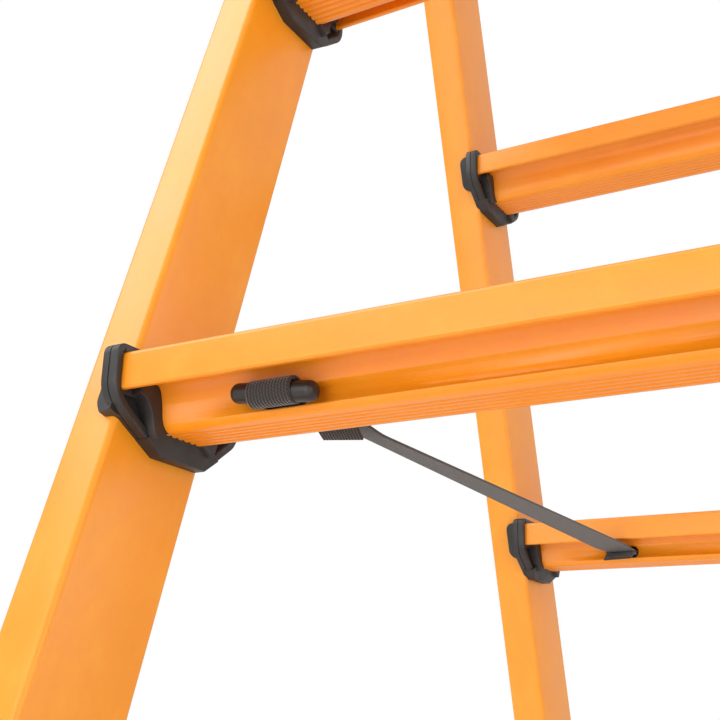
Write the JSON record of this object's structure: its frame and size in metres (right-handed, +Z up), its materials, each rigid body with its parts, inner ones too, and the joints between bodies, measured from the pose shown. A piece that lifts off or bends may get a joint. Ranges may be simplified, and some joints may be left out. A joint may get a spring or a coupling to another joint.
{
  "type": "double-sided folding rung ladder",
  "caption": "Standing double-sided ladder with box stiles, wide level treads, moulded rung brackets, webbing restraint straps and a folding hinge.",
  "frame": {"origin": "middle of the footprint on the floor, under the hinge axis", "axes": "+X along the rungs from left to right, +Y from the near section to the far section, +Z up"},
  "size_m": [0.4142, 1.1428, 1.7214],
  "materials": {
    "stile_glass_fibre": "satin yellow-orange glass-fibre box section",
    "rung_glass_fibre": "satin yellow-orange glass-fibre section with a faint surface veil",
    "bracket_nylon": "moulded glass-filled nylon, black",
    "peg_nylon": "turned black nylon",
    "strap_webbing": "woven black webbing",
    "sole_rubber": "moulded rubber",
    "hinge_casting": "fine sand-cast aluminium",
    "bolt_steel": "zinc-plated steel",
    "rivet_steel": "plated steel"
  },
  "bodies": {
    "near_section": {"near_left_stile": "stile_glass_fibre", "near_right_stile": "stile_glass_fibre", "near_rung_1": "rung_glass_fibre", "near_rung_2": "rung_glass_fibre", "near_rung_3": "rung_glass_fibre", "near_rung_4": "rung_glass_fibre", "near_rung_5": "rung_glass_fibre", "near_rung_6": "rung_glass_fibre", "near_left_brackets": "bracket_nylon", "near_right_brackets": "bracket_nylon", "near_rung_plugs": "bracket_nylon", "near_rung_rivets": "rivet_steel", "near_left_cap": "bracket_nylon", "near_right_cap": "bracket_nylon", "near_left_shoe": "bracket_nylon", "near_right_shoe": "bracket_nylon", "near_left_sole": "sole_rubber", "near_right_sole": "sole_rubber", "near_left_hinge": "hinge_casting", "near_right_hinge": "hinge_casting", "hinge_bolts": "bolt_steel", "hinge_washers": "bolt_steel", "hinge_nuts": "bolt_steel", "near_hinge_rivets": "rivet_steel", "left_strap": "strap_webbing", "right_strap": "strap_webbing", "near_left_peg": "peg_nylon", "near_right_peg": "peg_nylon"},
    "far_section": {"far_left_stile": "stile_glass_fibre", "far_right_stile": "stile_glass_fibre", "far_rung_1": "rung_glass_fibre", "far_rung_2": "rung_glass_fibre", "far_rung_3": "rung_glass_fibre", "far_rung_4": "rung_glass_fibre", "far_rung_5": "rung_glass_fibre", "far_rung_6": "rung_glass_fibre", "far_left_brackets": "bracket_nylon", "far_right_brackets": "bracket_nylon", "far_rung_plugs": "bracket_nylon", "far_rung_rivets": "rivet_steel", "far_left_cap": "bracket_nylon", "far_right_cap": "bracket_nylon", "far_left_shoe": "bracket_nylon", "far_right_shoe": "bracket_nylon", "far_left_sole": "sole_rubber", "far_right_sole": "sole_rubber", "far_left_hinge": "hinge_casting", "far_right_hinge": "hinge_casting", "far_hinge_rivets": "rivet_steel", "far_left_peg": "peg_nylon", "far_right_peg": "peg_nylon"}
  },
  "joints": [
    {"name": "fold", "type": "hinge", "parent": "near_section", "child": "far_section", "pos_m": [0, 0, 1.65286], "axis": [1, 0, 0], "range_deg": [-33, 0], "deforming": ["left_strap", "right_strap"]}
  ]
}
